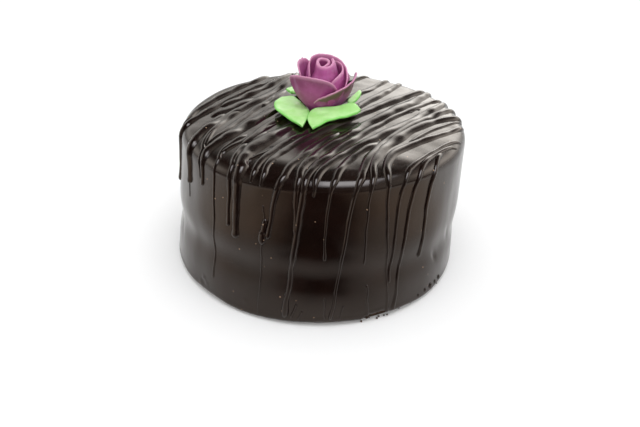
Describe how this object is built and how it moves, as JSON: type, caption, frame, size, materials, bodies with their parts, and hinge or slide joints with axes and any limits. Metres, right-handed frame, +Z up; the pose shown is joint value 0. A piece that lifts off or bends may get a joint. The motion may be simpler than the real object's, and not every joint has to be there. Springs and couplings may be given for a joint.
{
  "type": "layer cake",
  "caption": "Round layer cake under dark chocolate glaze, with drizzled strands that run over the rim and down the side, topped with a piped icing rose and green leaves.",
  "frame": {"origin": "centre of the flat foot that the cake stands on", "axes": "+Z up, -Y towards the front, +X to the right as seen from the front"},
  "size_m": [0.159, 0.1598, 0.1103],
  "materials": {
    "glaze": "satin dark chocolate glaze",
    "rose_icing": "smooth purple piped icing",
    "leaf_icing": "smooth light green piped icing"
  },
  "bodies": {
    "root": {"cake": "glaze", "rose": "rose_icing", "leaf_front_left": "leaf_icing", "leaf_front_right": "leaf_icing", "leaf_back_left": "leaf_icing", "leaf_back_right": "leaf_icing"}
  },
  "joints": []
}
